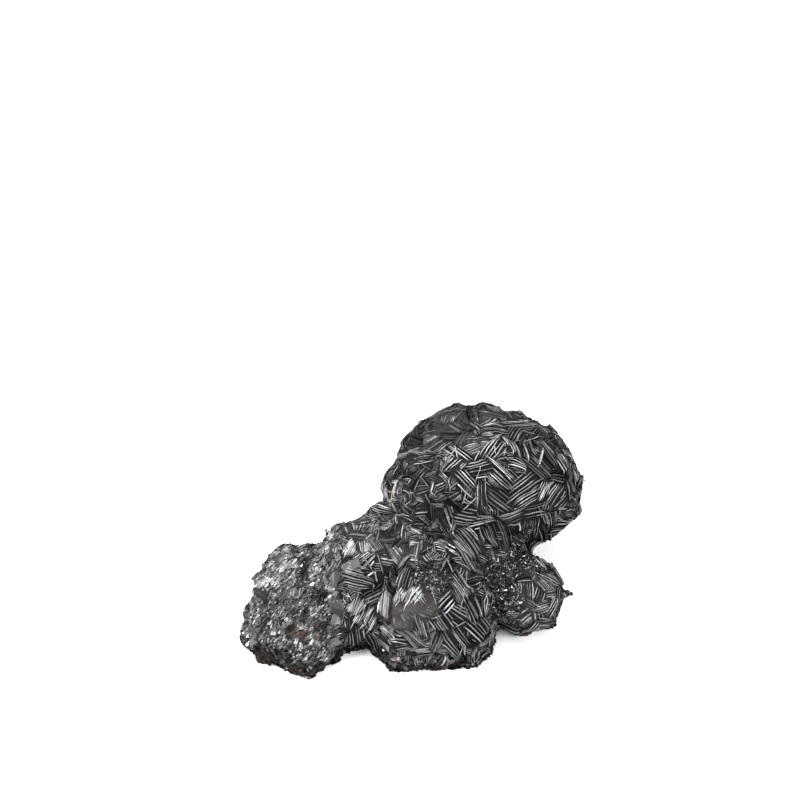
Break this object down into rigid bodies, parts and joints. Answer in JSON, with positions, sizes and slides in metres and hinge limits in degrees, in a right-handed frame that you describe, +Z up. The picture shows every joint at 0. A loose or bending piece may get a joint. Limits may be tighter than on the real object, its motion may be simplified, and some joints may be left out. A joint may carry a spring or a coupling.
{
  "type": "manganese oxide specimen",
  "caption": "Dark grey manganese oxide specimen: rounded lobes covered in a basket weave of lath crystals, with one lobe broken to granular cleavage, resting on a flat parting.",
  "frame": {"origin": "middle of the bounding box at the level of the flat parting face that the specimen rests on", "axes": "+X along the specimen's length, towards the tall rounded crown; +Z up, off the parting face; -Y towards the front, where the broken lobe and the front lobe show"},
  "size_m": [0.0908, 0.0746, 0.0395],
  "materials": {
    "manganese_oxide": "dark grey metallic crystals"
  },
  "bodies": {
    "root": {"manganese_oxide_specimen": "manganese_oxide"}
  },
  "joints": []
}
